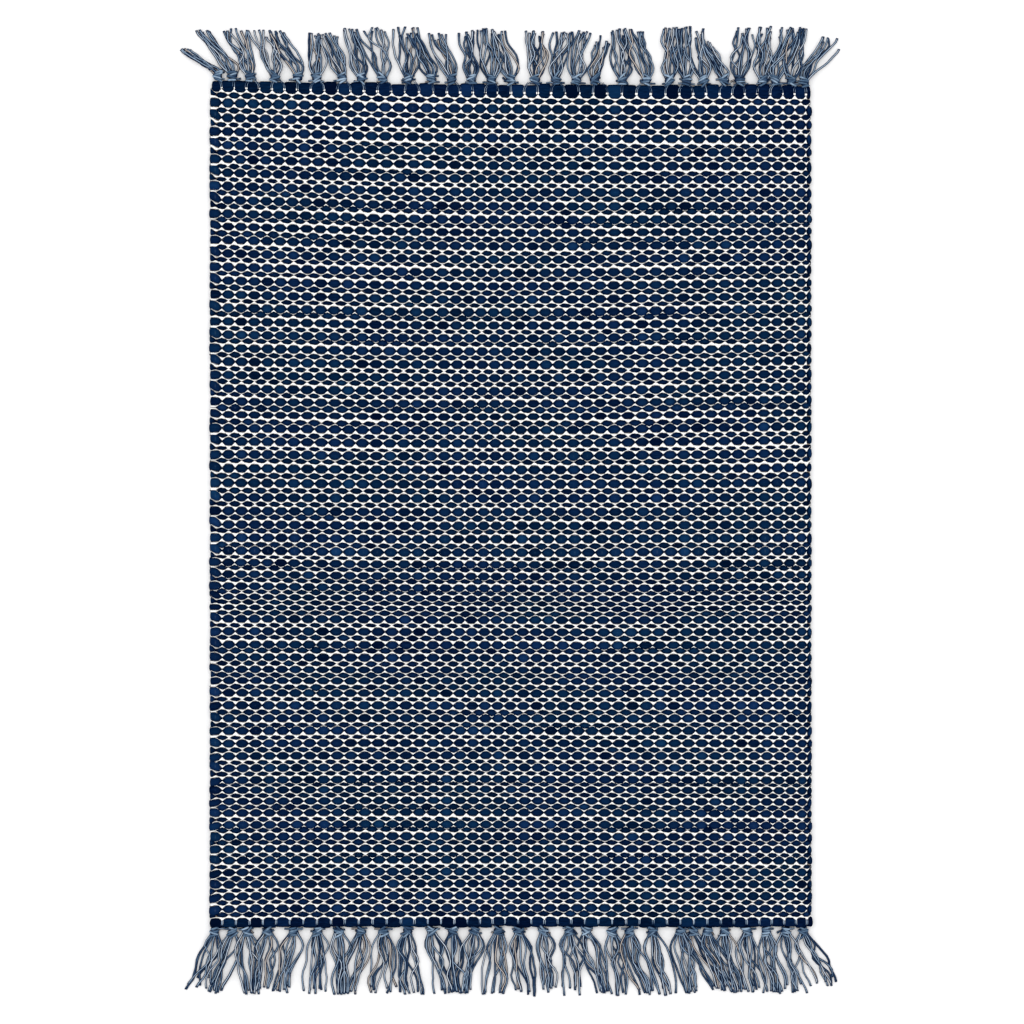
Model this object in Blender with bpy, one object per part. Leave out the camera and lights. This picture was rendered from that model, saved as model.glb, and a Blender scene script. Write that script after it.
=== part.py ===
import math

import bmesh
import bpy
import numpy as np

# Sizes in metres. +X is to the right, +Y is towards the far fringe, and the floor is z = 0.
MM = 0.001
FIELD_LEFT = -0.3005
FIELD_RIGHT = 0.3005
FIELD_FAR = 0.4135
FIELD_NEAR = -0.4065
THICK_RIB_HEIGHT = 0.0080
THIN_RIB_HEIGHT = 0.0070
GROOVE_HEIGHT = 0.0053
SELVEDGE_HEIGHT = 0.0046
SELVEDGE_WAVE = 0.0009
THICK_RIB_HALF = 0.0021

# Weft rows at the middle of the rug, from the far end, in millimetres from its centre
THICK_ROWS = (
    401.2, 386.2, 372.2, 358.7, 344.7, 331.2, 317.7, 303.7, 290.2, 277.5, 264.2,
    250.8, 237.4, 224.0, 210.6, 197.7, 184.7, 171.8, 158.5, 145.5, 132.3, 119.0,
    106.5, 93.7, 80.5, 67.3, 54.3, 40.4, 26.0, 11.7, -1.9, -15.6, -28.7, -41.9,
    -55.2, -66.1, -78.1, -88.6, -98.9, -109.9, -122.2, -135.4, -147.9, -159.9,
    -170.8, -183.0, -195.4, -207.9, -220.1, -232.6, -244.9, -256.9, -269.5,
    -278.9, -290.2, -301.9, -314.1, -326.1, -338.0, -349.1, -361.1, -373.1,
    -385.1, -397.6,
)
FIRST_THIN_ROW = 0.4090
LAST_THIN_ROW = -0.4035

# The rows rise towards both sides, by a share of these that changes along the rug.
LEFT_RISE = 0.0060
LEFT_WIDTH = 0.300
LEFT_SHARES = (
    (-400, 0.0), (-285, -0.20), (-189, 0.20), (-93, 0.42), (60, 0.33), (112, 0.45),
    (165, 0.60), (217, 0.90), (324, 1.05), (400, 1.0),
)
RIGHT_RISE = 0.0043
RIGHT_START = 0.060
RIGHT_WIDTH = 0.240
RIGHT_SHARES = (
    (-400, 0.0), (-285, -0.30), (-189, 0.25), (-47, 0.28), (60, 0.75), (112, 1.05),
    (165, 1.0), (217, 0.85), (270, 0.50), (324, -0.05), (400, -0.25),
)

# Headings and their fringe
GAP = 0.0003
HEADING_BEADS = 45
HEADING_LEFT = -0.2980
HEADING_RIGHT = 0.2990
HEADING_WIDTH = 0.0122
NEAR_HEADING_WIDTH = 0.0105
BEAD_HEIGHT = 0.0076
BEAD_GAP_HEIGHT = 0.0056
HEADING_EDGE_HEIGHT = 0.0040
BEAD_BULGE = 0.0005
KNOT_WIDTH = 0.0096
KNOT_LENGTH = 0.0112
KNOT_HEIGHT = 0.0083
KNOT_OFFSET = 0.0032
KNOT_FOOT = 1.25
LOCK_WIDTHS = ((0.0, 0.45, 1.0), (0.0011, 0.0022, 0.0014))
LOCK_HEIGHTS = ((0.0, 0.5, 1.0), (0.0026, 0.0026, 0.0015))
LOCK_START = 0.0026
LOCK_ROOT_PITCH = 0.0016
LOCK_TIP_PITCH = 0.0034
LOCK_REACH = 0.066
LOCK_STEPS = 3
KNOT_SEED = 5
LOCK_SEED = 9

# One row for each tassel, in millimetres from the middle of the rug:
# where its knot sits, where its leftmost and rightmost ends lie,
# how far it reaches from the heading, how ragged its ends are, and its locks.
FAR_TASSELS = (
    # knot, left, right, reach, rag, locks
    (-293, -327, -321, 31, 4, 3),
    (-278, -315, -300, 50, 4, 5),
    (-261, -286, -262, 52, 6, 5),
    (-236, -262, -236, 51, 6, 5),
    (-213, -241, -227, 52, 6, 4),
    (-194, -202, -187, 49, 5, 4),
    (-168, -195, -173, 49, 7, 5),
    (-149, -170, -157, 54, 3, 4),
    (-128, -153, -127, 55, 3, 4),
    (-102, -116, -94, 56, 8, 5),
    (-79, -105, -94, 50, 2, 3),
    (-59, -81, -64, 50, 5, 4),
    (-39, -52, -36, 53, 5, 4),
    (-19, -30, -21, 55, 2, 3),
    (0, -18, -3, 53, 4, 4),
    (25, 11, 37, 53, 5, 5),
    (45, 43, 61, 52, 2, 4),
    (66, 61, 89, 54, 4, 5),
    (84, 87, 97, 43, 6, 3),
    (112, 102, 115, 56, 6, 4),
    (136, 115, 136, 56, 6, 4),
    (159, 155, 167, 58, 3, 4),
    (176, 166, 179, 59, 3, 3),
    (193, 180, 196, 58, 9, 4),
    (214, 190, 201, 43, 5, 3),
    (229, 225, 243, 57, 6, 4),
    (253, 250, 269, 58, 8, 5),
    (265, 265, 289, 57, 5, 4),
    (281, 281, 302, 57, 4, 4),
    (294, 306, 328, 49, 9, 4),
)
NEAR_TASSELS = (
    # knot, left, right, reach, rag, locks
    (-296, -327, -299, 61, 9, 5),
    (-278, -305, -290, 65, 6, 4),
    (-264, -265, -253, 66, 3, 3),
    (-243, -255, -245, 63, 3, 4),
    (-217, -239, -217, 65, 6, 5),
    (-193, -206, -185, 66, 5, 5),
    (-172, -180, -164, 67, 5, 4),
    (-150, -168, -157, 67, 3, 4),
    (-127, -146, -115, 66, 6, 5),
    (-103, -110, -87, 67, 4, 5),
    (-79, -76, -56, 66, 3, 4),
    (-58, -64, -46, 66, 3, 4),
    (-36, -51, -38, 66, 3, 4),
    (-12, -27, -8, 67, 3, 4),
    (8, 6, 23, 69, 6, 4),
    (33, 33, 43, 65, 6, 4),
    (59, 53, 72, 68, 9, 4),
    (76, 83, 97, 67, 4, 4),
    (102, 102, 115, 68, 4, 4),
    (119, 126, 145, 67, 4, 4),
    (142, 150, 166, 68, 5, 4),
    (170, 177, 189, 66, 5, 4),
    (183, 206, 212, 63, 3, 3),
    (197, 214, 231, 64, 4, 4),
    (214, 220, 233, 65, 3, 3),
    (237, 235, 255, 65, 6, 5),
    (256, 258, 275, 66, 6, 4),
    (275, 276, 296, 65, 6, 4),
    (293, 302, 328, 63, 10, 5),
)


def start_empty():
    for other in list(bpy.data.objects):
        bpy.data.objects.remove(other, do_unlink=True)
    for other in list(bpy.data.collections):
        bpy.data.collections.remove(other)


def collection(name):
    made = bpy.data.collections.new(name)
    bpy.context.scene.collection.children.link(made)
    return made


def fabric(name, colour, roughness):
    material = bpy.data.materials.new(name)
    material.use_nodes = True
    shader = material.node_tree.nodes["Principled BSDF"]
    shader.inputs["Base Color"].default_value = (*colour, 1.0)
    shader.inputs["Roughness"].default_value = roughness
    return material


def finish(bm, name, group, material):
    bmesh.ops.recalc_face_normals(bm, faces=bm.faces)
    mesh = bpy.data.meshes.new(name)
    bm.to_mesh(mesh)
    bm.free()
    mesh.materials.append(material)
    made = bpy.data.objects.new(name, mesh)
    group.objects.link(made)
    return made


def helper(made):
    made.hide_render = True
    made.display_type = "WIRE"
    return made


def join(made, other):
    union = made.modifiers.new(other.name, "BOOLEAN")
    union.operation = "UNION"
    union.solver = "EXACT"
    union.object = other


def share_at(y, shares):
    table = np.array(shares)
    return np.interp(y / MM, table[:, 0], table[:, 1])


def bow(x, y):
    left = LEFT_RISE * np.clip(-x / LEFT_WIDTH, 0.0, 1.0) ** 1.3
    right = RIGHT_RISE * np.clip((x - RIGHT_START) / RIGHT_WIDTH, 0.0, 1.0)
    return left * share_at(y, LEFT_SHARES) + right * share_at(y, RIGHT_SHARES)


def thin_rows(thick):
    between = (thick[:-1] + thick[1:]) / 2.0
    return np.concatenate(([FIRST_THIN_ROW], between, [LAST_THIN_ROW]))


def field_lines():
    """The lines across the cloth, from the far end: y, height and how far the edge stands out."""
    thick = np.array(THICK_ROWS) * MM
    thin = thin_rows(thick)
    lines = [(FIELD_FAR, GROOVE_HEIGHT, 0.0)]
    for number, row in enumerate(thick):
        above = thin[number]
        below = thin[number + 1]
        lines.append((above, THIN_RIB_HEIGHT, 0.4))
        lines.append(((above + row + THICK_RIB_HALF) / 2.0, GROOVE_HEIGHT, 0.0))
        lines.append((row + THICK_RIB_HALF, THICK_RIB_HEIGHT, 1.0))
        lines.append((row - THICK_RIB_HALF, THICK_RIB_HEIGHT, 1.0))
        lines.append(((below + row - THICK_RIB_HALF) / 2.0, GROOVE_HEIGHT, 0.0))
    lines.append((thin[-1], THIN_RIB_HEIGHT, 0.4))
    lines.append((FIELD_NEAR, GROOVE_HEIGHT, 0.0))
    return lines


def slab(across, along, place):
    """A solid on the floor. place(column, row) gives the point of its top and of its underside."""
    bm = bmesh.new()
    bmesh.ops.create_grid(bm, x_segments=across, y_segments=along, size=1.0)
    top = list(bm.verts)
    where = {}
    for vert in top:
        column = round((vert.co.x + 1.0) / 2.0 * across)
        row = round((1.0 - vert.co.y) / 2.0 * along)
        where[vert] = place(column, row)
    underside = bmesh.ops.extrude_face_region(bm, geom=list(bm.faces), use_keep_orig=True)
    lower = [part for part in underside["geom"] if isinstance(part, bmesh.types.BMVert)]
    for vert in lower:
        column = round((vert.co.x + 1.0) / 2.0 * across)
        row = round((1.0 - vert.co.y) / 2.0 * along)
        vert.co = place(column, row)[1]
    for vert in top:
        vert.co = where[vert][0]
    return bm, [part for part in underside["geom"] if isinstance(part, bmesh.types.BMEdge)]


def clear_underside(bm, edges, keep):
    """Takes out the edges of the underside that keep says no to, so that it is few flat faces."""
    inner = [edge for edge in edges if edge.is_valid and not edge.is_boundary]
    gone = []
    for edge in inner:
        flat = all(all(abs(v.co.z) < 1e-7 for v in face.verts) for face in edge.link_faces)
        if flat and not keep(edge):
            gone.append(edge)
    bmesh.ops.dissolve_edges(bm, edges=gone, use_verts=True)


FIELD_COLUMNS = (0.0, 0.008, 0.13, 0.26, 0.45, 0.70, 1.0)


def field_x(column, stand_out):
    share = FIELD_COLUMNS[column]
    left = FIELD_LEFT + SELVEDGE_WAVE * (1.0 - stand_out)
    right = FIELD_RIGHT - SELVEDGE_WAVE * (1.0 - stand_out)
    return left + (right - left) * share


def field(group, material):
    lines = field_lines()
    last = len(lines) - 1

    def place(column, row):
        y, height, stand_out = lines[row]
        x = field_x(column, stand_out)
        rise = bow(x, y)
        at_side = column in (0, len(FIELD_COLUMNS) - 1)
        z = min(height, SELVEDGE_HEIGHT) if at_side else height
        under_rise = rise if row in (0, last) else 0.0
        return (x, y + rise, z), (x, y + under_rise, 0.0)

    bm, edges = slab(len(FIELD_COLUMNS) - 1, last, place)
    clear_underside(bm, edges, lambda edge: abs(edge.verts[0].co.x - edge.verts[1].co.x) > 0.01)
    return finish(bm, "rug_field", group, material)


def end_of_field(x, y, stand_out=0.0):
    """The end line of the field's solid, which runs straight between its columns."""
    stations = np.array([field_x(column, stand_out) for column in range(len(FIELD_COLUMNS))])
    return float(np.interp(x, stations, y + bow(stations, y)))


def heading(name, group, material, far):
    side = 1.0 if far else -1.0
    end = FIELD_FAR if far else FIELD_NEAR
    width = HEADING_WIDTH if far else NEAR_HEADING_WIDTH
    columns = 2 * HEADING_BEADS

    def place(column, row):
        x = HEADING_LEFT + (HEADING_RIGHT - HEADING_LEFT) * column / columns
        inner = end_of_field(x, end) + side * GAP
        outer = heading_edge(x, far)
        on_bead = column % 2 == 1
        if row == 1:
            y = inner + (outer - inner) * 0.5
            z = BEAD_HEIGHT if on_bead else BEAD_GAP_HEIGHT
        elif row == (2 if far else 0):
            y = inner
            z = HEADING_EDGE_HEIGHT
        else:
            y = outer - (0.0 if on_bead else side * BEAD_BULGE)
            z = HEADING_EDGE_HEIGHT
        return (x, y, z), (x, y, 0.0)

    bm, edges = slab(columns, 2, place)
    clear_underside(bm, edges, lambda edge: abs(edge.verts[0].co.y - edge.verts[1].co.y) > 0.002)
    return finish(bm, name, group, material)


def heading_edge(x, far):
    """The outer edge of a heading, which droops at the right corner of the far end."""
    if not far:
        return FIELD_NEAR - GAP - NEAR_HEADING_WIDTH
    droop = 0.0023 * max(0.0, (x - 0.275) / 0.024) ** 2
    rise = 0.62 * bow(x, FIELD_FAR)
    return FIELD_FAR + GAP + HEADING_WIDTH + float(rise) - droop


def knots(name, group, material, table, far):
    side = 1.0 if far else -1.0
    chance = np.random.default_rng(KNOT_SEED + far)
    bm = bmesh.new()
    for knot_x, left, right, reach, rag, locks in table:
        made = bmesh.ops.create_uvsphere(bm, u_segments=6, v_segments=4, radius=0.5)
        turn = chance.uniform(-0.4, 0.4)
        grow = chance.uniform(0.92, 1.05)
        x = knot_x * MM
        y = heading_edge(x, far) + side * KNOT_OFFSET
        for vert in made["verts"]:
            px = vert.co.x * math.cos(turn) - vert.co.y * math.sin(turn)
            py = vert.co.x * math.sin(turn) + vert.co.y * math.cos(turn)
            low = vert.co.z < -0.1
            lump = (KNOT_FOOT if low else 1.0) + chance.uniform(-0.05, 0.05)
            vert.co.x = x + px * KNOT_WIDTH * grow * lump
            vert.co.y = y + py * KNOT_LENGTH * grow * lump
            vert.co.z = 0.0 if low else (vert.co.z + 0.5) * KNOT_HEIGHT * grow
    return finish(bm, name, group, material)


def sway(x, y):
    return 0.0010 * math.sin(x / 0.021) * min(1.0, y / 0.02) * math.sin(y / 0.019 + x / 0.13)


def spread(along):
    """The share of its way sideways that a lock has gone at this distance from the heading."""
    share = (along - LOCK_START) / (LOCK_REACH - LOCK_START)
    return share * (1.35 - 0.35 * share)


def lock_plan(table, far):
    """Root, far aim and reach of each lock, in order from the left, spaced so that none meet."""
    chance = np.random.default_rng(LOCK_SEED + far)
    roots = []
    aims = []
    reaches = []
    for knot_x, left, right, reach, rag, locks in table:
        falls_short = chance.permutation(locks) / (locks - 1)
        for number in range(locks):
            across = number - (locks - 1) / 2.0
            end = (left + (right - left) * number / (locks - 1)) * MM
            root = knot_x * MM + across * LOCK_ROOT_PITCH
            this_reach = (reach - rag * falls_short[number]) * MM
            roots.append(root)
            reaches.append(this_reach)
            aims.append(root + (end - root) / spread(this_reach))
    order = np.argsort(aims)
    aims = np.array(aims)[order]
    reaches = np.array(reaches)[order]
    for step in range(60):
        short = LOCK_TIP_PITCH - np.diff(aims)
        push = np.clip(short, 0.0, None) / 2.0
        aims[:-1] -= push
        aims[1:] += push
    return list(zip(np.sort(roots), aims, reaches))


def lock_blank():
    """A three-sided bar from z = 0 to z = 1, cut into even steps."""
    bm = bmesh.new()
    bmesh.ops.create_cone(
        bm, cap_ends=True, segments=3, radius1=1.0, radius2=1.0, depth=1.0
    )
    long_edges = [e for e in bm.edges if abs(e.verts[0].co.z - e.verts[1].co.z) > 0.5]
    bmesh.ops.subdivide_edges(bm, edges=long_edges, cuts=LOCK_STEPS - 1)
    bmesh.ops.translate(bm, verts=bm.verts, vec=(0.0, 0.0, 0.5))
    blank = bpy.data.meshes.new("lock_blank")
    bm.to_mesh(blank)
    bm.free()
    return blank


def corner_of(vert, wide, high):
    """Where a corner of the bar goes: two on the floor and one on top."""
    angle = math.atan2(vert.co.x, vert.co.y)
    if abs(angle) < 0.5:
        return 0.0, high
    return math.copysign(wide / 2.0, angle), 0.0


def locks(name, group, material, table, far):
    side = 1.0 if far else -1.0
    blank = lock_blank()
    bm = bmesh.new()
    for root, aim, reach in lock_plan(table, far):
        bm.from_mesh(blank)
        start = heading_edge(root, far)
        bm.verts.ensure_lookup_table()
        for vert in bm.verts[-len(blank.vertices):]:
            share = vert.co.z
            along = LOCK_START + (reach - LOCK_START) * share
            x = root + (aim - root) * spread(along)
            x += sway(x, along - LOCK_START)
            wide = np.interp(share, *LOCK_WIDTHS)
            high = np.interp(share, *LOCK_HEIGHTS)
            across, up = corner_of(vert, wide, high)
            vert.co = (x + across, start + side * along, up)
    return finish(bm, name, group, material)


def fringe(name, group, helpers, material, table, far):
    made = heading(name, group, material, far)
    tied = helper(knots(name + "_knots", helpers, material, table, far))
    loose = helper(locks(name + "_locks", helpers, material, table, far))
    join(made, tied)
    join(made, loose)
    return made


start_empty()
rug = collection("accent_rug")
joined = collection("joined_pieces")
joined.hide_render = True
field(rug, fabric("woven_cotton", (0.030, 0.060, 0.130), 0.9))
fringe("fringe_far", rug, joined, fabric("far_warp_yarn", (0.12, 0.19, 0.28), 0.9), FAR_TASSELS, True)
fringe("fringe_near", rug, joined, fabric("near_warp_yarn", (0.12, 0.19, 0.28), 0.9), NEAR_TASSELS, False)
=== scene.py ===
import math

import bmesh
import bpy
import numpy as np
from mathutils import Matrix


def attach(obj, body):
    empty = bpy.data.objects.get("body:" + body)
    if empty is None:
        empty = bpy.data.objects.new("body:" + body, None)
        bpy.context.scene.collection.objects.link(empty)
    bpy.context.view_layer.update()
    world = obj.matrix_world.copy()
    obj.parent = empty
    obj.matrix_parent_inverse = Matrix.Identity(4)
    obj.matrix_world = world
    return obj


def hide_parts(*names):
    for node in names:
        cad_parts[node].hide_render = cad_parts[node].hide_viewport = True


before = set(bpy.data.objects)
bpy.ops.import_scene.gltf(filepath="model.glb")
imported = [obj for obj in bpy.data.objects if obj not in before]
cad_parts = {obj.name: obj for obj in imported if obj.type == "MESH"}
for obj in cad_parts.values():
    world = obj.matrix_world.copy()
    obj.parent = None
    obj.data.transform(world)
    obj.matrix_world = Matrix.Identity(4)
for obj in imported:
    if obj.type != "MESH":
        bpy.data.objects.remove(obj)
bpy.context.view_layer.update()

# Sizes are in millimetres from the middle of the rug, with y towards the far fringe and z up
# from the floor. MM turns them into metres when a piece is made.
MM = 0.001

FIELD_FAR = 413.5
FIELD_NEAR = -406.5

# The rows of thick and thin weft at the middle of the rug, from the far end, and how tall
# their beads look from above. A thin row lies before each thick one, and after the last.
# These charts, and those for the links, climbs, slack, columns and tassels below, weren't made
# by hand: scripts measured them on the photo.
THICK_ROWS = (
    401.2, 386.2, 372.2, 358.7, 344.7, 331.2, 317.7, 303.7, 290.2, 277.5, 264.2,
    250.8, 237.4, 224.0, 210.6, 197.7, 184.7, 171.8, 158.5, 145.5, 132.3, 119.0,
    106.5, 93.7, 80.5, 67.3, 54.3, 40.4, 26.0, 11.7, -1.9, -15.6, -28.7, -41.9,
    -54.2, -66.1, -78.1, -88.6, -98.9, -109.9, -122.2, -135.4, -147.9, -159.9,
    -170.8, -183.0, -195.4, -207.9, -220.1, -232.6, -244.9, -256.9, -269.0,
    -278.9, -290.2, -301.9, -314.1, -326.1, -338.0, -349.1, -361.1, -373.1,
    -385.1, -397.6,
)
THICK_TALL = (
    8.5, 8.0, 8.0, 8.0, 7.7, 8.0, 8.2, 8.0, 8.0, 6.8, 7.7, 8.0, 7.8, 7.6, 7.6, 8.1,
    7.4, 7.9, 7.8, 7.9, 7.7, 7.9, 7.2, 6.0, 8.0, 7.9, 8.3, 7.9, 8.3, 8.2, 7.9, 7.8,
    7.9, 8.1, 6.9, 6.8, 6.9, 5.6, 4.7, 7.3, 7.4, 7.3, 7.3, 6.1, 6.2, 7.0, 7.6, 7.5,
    7.7, 7.1, 7.1, 7.3, 7.0, 6.3, 6.4, 6.9, 7.5, 7.2, 6.8, 7.1, 7.2, 7.3, 7.4, 7.2,
)
THIN_ROWS = (
    409.3, 393.8, 379.1, 364.4, 351.4, 337.0, 324.5, 311.2, 298.2, 284.7, 270.3, 256.9, 245.0,
    231.6, 217.6, 204.9, 192.1, 178.1, 166.3, 152.2, 138.7, 126.4, 113.5, 100.5, 86.5, 73.2,
    60.3, 48.1, 32.9, 18.5, 5.1, -8.0, -21.6, -35.9, -48.2, -59.3, -71.3, -83.1, -93.6, -104.0,
    -116.1, -128.2, -140.9, -153.9, -165.3, -177.3, -189.4, -202.1, -214.7, -226.8, -239.2,
    -251.3, -262.4, -273.5, -284.1, -296.4, -308.8, -319.2, -331.7, -344.3, -355.8, -367.3,
    -379.4, -391.1, -403.3,
)
THIN_TALL = (
    5.3, 5.5, 4.2, 4.5, 5.0, 4.9, 3.9, 5.5, 5.0, 4.9, 5.8, 4.5, 4.4, 4.7, 5.2, 4.0, 5.2, 4.4,
    4.9, 4.9, 4.1, 4.7, 4.3, 6.2, 5.6, 4.7, 3.1, 4.8, 5.8, 5.1, 4.7, 5.3, 5.0, 5.2, 3.1, 4.7,
    4.6, 4.4, 4.6, 5.0, 3.8, 4.9, 5.4, 4.8, 5.0, 5.3, 3.8, 5.3, 4.6, 3.8, 5.1, 4.0, 4.2, 3.6,
    4.4, 5.7, 4.2, 4.7, 4.9, 4.2, 4.0, 4.8, 3.7, 4.5, 5.1,
)
# How much navy shows between two beads of each thin row. A script fitted it to how bright
# the middle of each row is in the photo.
THIN_LINK = (
    0.42, 0.41, 0.04, 0.12, 0.32, 0.27, 0.01, 0.37, 0.22, 0.33, 0.51, 0.13, 0.18, 0.36, 0.46,
    0.20, 0.47, 0.14, 0.34, 0.35, 0.08, 0.20, 0.12, 0.73, 0.35, 0.18, 0.00, 0.33, 0.61, 0.31,
    0.26, 0.41, 0.36, 0.33, 0.00, 0.31, 0.33, 0.24, 0.38, 0.49, 0.08, 0.33, 0.44, 0.19, 0.40,
    0.39, 0.09, 0.38, 0.29, 0.09, 0.30, 0.12, 0.17, 0.14, 0.24, 0.52, 0.04, 0.28, 0.34, 0.05,
    0.00, 0.24, 0.04, 0.21, 0.42,
)

# The rows rise towards both sides, by a share of these that changes along the rug.
LEFT_RISE = 6.0
LEFT_WIDTH = 300.0
LEFT_SHARES = (
    (-400, 0.0), (-285, -0.20), (-189, 0.20), (-93, 0.42), (60, 0.33), (112, 0.45),
    (165, 0.60), (217, 0.90), (324, 1.05), (400, 1.0),
)
RIGHT_RISE = 4.3
RIGHT_START = 60.0
RIGHT_WIDTH = 240.0
RIGHT_SHARES = (
    (-400, 0.0), (-285, -0.30), (-189, 0.25), (-47, 0.28), (60, 0.75), (112, 1.05),
    (165, 1.0), (217, 0.85), (270, 0.50), (324, -0.05), (400, -0.25),
)

# How far the left end of each thick row climbs towards the far end
LEFT_CLIMB = (
    0.3, 5.2, 0.0, 5.0, 0.0, 4.0, 0.5, 4.9, 0.0, 2.6, 0.0, 3.5, 0.0, 3.6, 0.0, 3.2,
    -0.3, 3.0, 0.3, 3.7, 0.0, 4.0, 0.0, 1.5, 0.0, 3.7, -0.7, 2.7, 0.0, 3.0, 0.0, 4.5,
    -0.4, 3.5, 0.8, 3.0, 0.4, 3.3, 0.0, 2.7, -1.0, 3.7, 0.7, 2.1, -0.8, 1.4, -1.6, 1.9,
    -0.7, 1.9, -1.8, 3.7, -2.0, 0.5, -1.9, 0.7, -1.9, 0.3, -0.3, 1.7, -2.4, 0.8, -2.5, -1.5,
)
# How far the rows have slipped towards the near end: across at SLACK_ACROSS, and
# for each of those places down the cloth at SLACK_DOWN
SLACK_ACROSS = (-282, -245, -130, 0, 135, 280)
SLACK_DOWN = (410, 300, 150, -10, -90, -170, -250, -320, -395)
SLACK = (
    (-0.3, -0.6, 0.2, 1.1, 0.6, 1.1, 0.8, 0.1, 1.7),
    (0.0, -0.4, 0.5, 0.9, 0.3, 0.8, 0.6, -0.1, 1.0),
    (0.3, 0.8, 1.0, 1.0, 0.6, 0.4, 0.4, -0.1, 0.6),
    (0.1, 0.2, 0.4, 0.5, 0.5, 0.1, 0.5, 0.3, 0.2),
    (1.1, 0.5, 0.2, 0.5, 0.5, 0.5, 1.0, 0.6, 0.7),
    (0.3, 0.3, 0.0, 0.9, 0.1, 1.2, 0.8, 0.9, 1.0),
)
LEFT_EDGE = -300.5
RIGHT_EDGE = 301.0
MIDDLE = 4.0

GAP = 0.3
HEADING_WIDTH = 12.2
NEAR_HEADING_WIDTH = 10.3

# Where the warp columns run: the column's number from the left, and its x at each of
# COLUMN_PLACES along the rug. The thick weft shows a bead on each whole number.
COLUMN_PLACES = (413, 338, 231, 73, -83, -225, -367, -407)
COLUMNS = (
    (-1, -307.0, -307.0, -307.0, -307.0, -307.0, -307.0, -307.0, -307.0),
    (0, -295.0, -295.0, -295.0, -295.0, -295.0, -295.0, -295.0, -295.0),
    (2, -270.2, -270.2, -269.1, -269.1, -269.1, -268.0, -267.3, -267.9),
    (6, -219.3, -219.3, -216.3, -217.3, -215.7, -214.2, -213.8, -214.5),
    (10, -166.5, -165.2, -162.2, -161.9, -160.6, -159.4, -158.7, -159.2),
    (14, -112.3, -110.1, -107.9, -107.0, -105.4, -104.3, -103.5, -103.0),
    (18, -56.6, -55.0, -54.2, -53.3, -51.5, -50.3, -50.1, -49.8),
    (22, -6.2, -4.4, -4.1, -3.0, -1.5, 0.8, 0.3, 0.4),
    (26, 47.4, 48.0, 48.2, 49.0, 50.8, 53.8, 52.9, 53.3),
    (30, 104.2, 104.7, 103.3, 103.3, 105.9, 109.0, 107.9, 108.1),
    (34, 161.9, 161.9, 159.9, 158.9, 161.5, 164.4, 163.2, 162.9),
    (38, 215.7, 216.2, 214.9, 213.8, 215.7, 218.6, 217.5, 216.6),
    (42, 266.2, 267.4, 267.2, 266.4, 267.6, 269.4, 267.9, 267.0),
    (44, 290.2, 290.9, 290.8, 290.6, 291.3, 292.2, 291.6, 291.2),
    (45, 300.5, 300.6, 300.7, 300.9, 301.1, 301.3, 301.5, 301.5),
    (46, 312.0, 312.1, 312.2, 312.4, 312.6, 312.8, 313.0, 313.0),
)

# One row for each tassel: its knot's x, where its leftmost and rightmost ends lie, how far it
# reaches from the heading, and how ragged its ends are.
FAR_TASSELS = (
    (-293, -327, -321, 31, 4),
    (-278, -315, -300, 50, 4),
    (-261, -286, -262, 52, 6),
    (-236, -262, -236, 51, 6),
    (-213, -241, -227, 52, 6),
    (-194, -202, -187, 49, 5),
    (-168, -195, -173, 49, 7),
    (-149, -170, -157, 54, 3),
    (-128, -153, -127, 55, 3),
    (-102, -116, -94, 56, 8),
    (-79, -105, -94, 50, 2),
    (-59, -81, -64, 50, 5),
    (-39, -52, -36, 53, 5),
    (-19, -30, -21, 55, 2),
    (0, -18, -3, 53, 4),
    (25, 11, 37, 53, 5),
    (45, 43, 61, 52, 2),
    (66, 61, 89, 54, 4),
    (84, 87, 97, 43, 6),
    (112, 102, 115, 56, 6),
    (136, 115, 136, 56, 6),
    (159, 155, 167, 58, 3),
    (176, 166, 179, 59, 3),
    (193, 180, 196, 58, 9),
    (214, 190, 201, 43, 5),
    (229, 225, 243, 57, 6),
    (253, 250, 269, 58, 8),
    (265, 265, 289, 57, 5),
    (281, 281, 302, 57, 4),
    (294, 306, 328, 49, 9),
)
NEAR_TASSELS = (
    (-296, -327, -299, 61, 9),
    (-278, -305, -290, 65, 6),
    (-264, -265, -253, 66, 3),
    (-243, -255, -245, 63, 3),
    (-217, -239, -217, 65, 6),
    (-193, -206, -185, 66, 5),
    (-172, -180, -164, 67, 5),
    (-150, -168, -157, 67, 3),
    (-127, -146, -115, 66, 6),
    (-103, -110, -87, 67, 4),
    (-79, -76, -56, 66, 3),
    (-58, -64, -46, 66, 3),
    (-36, -51, -38, 66, 3),
    (-12, -27, -8, 67, 3),
    (8, 6, 23, 69, 6),
    (33, 33, 43, 65, 6),
    (59, 53, 72, 68, 9),
    (76, 83, 97, 67, 4),
    (102, 102, 115, 68, 4),
    (119, 126, 145, 67, 4),
    (142, 150, 166, 68, 5),
    (170, 177, 189, 66, 5),
    (183, 206, 212, 63, 3),
    (197, 214, 231, 64, 4),
    (214, 220, 233, 65, 3),
    (237, 235, 255, 65, 6),
    (256, 258, 275, 66, 6),
    (275, 276, 296, 65, 6),
    (293, 302, 328, 63, 10),
)
YARNS_IN_A_TASSEL = 9

# How far the far knots' middle lies outside the heading, and half a knot's length, then
# the same for the near ones
KNOT_OUT = {True: 4.4, False: 3.7}
KNOT_LONG = {True: 5.4, False: 4.6}


# Finishes

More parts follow.
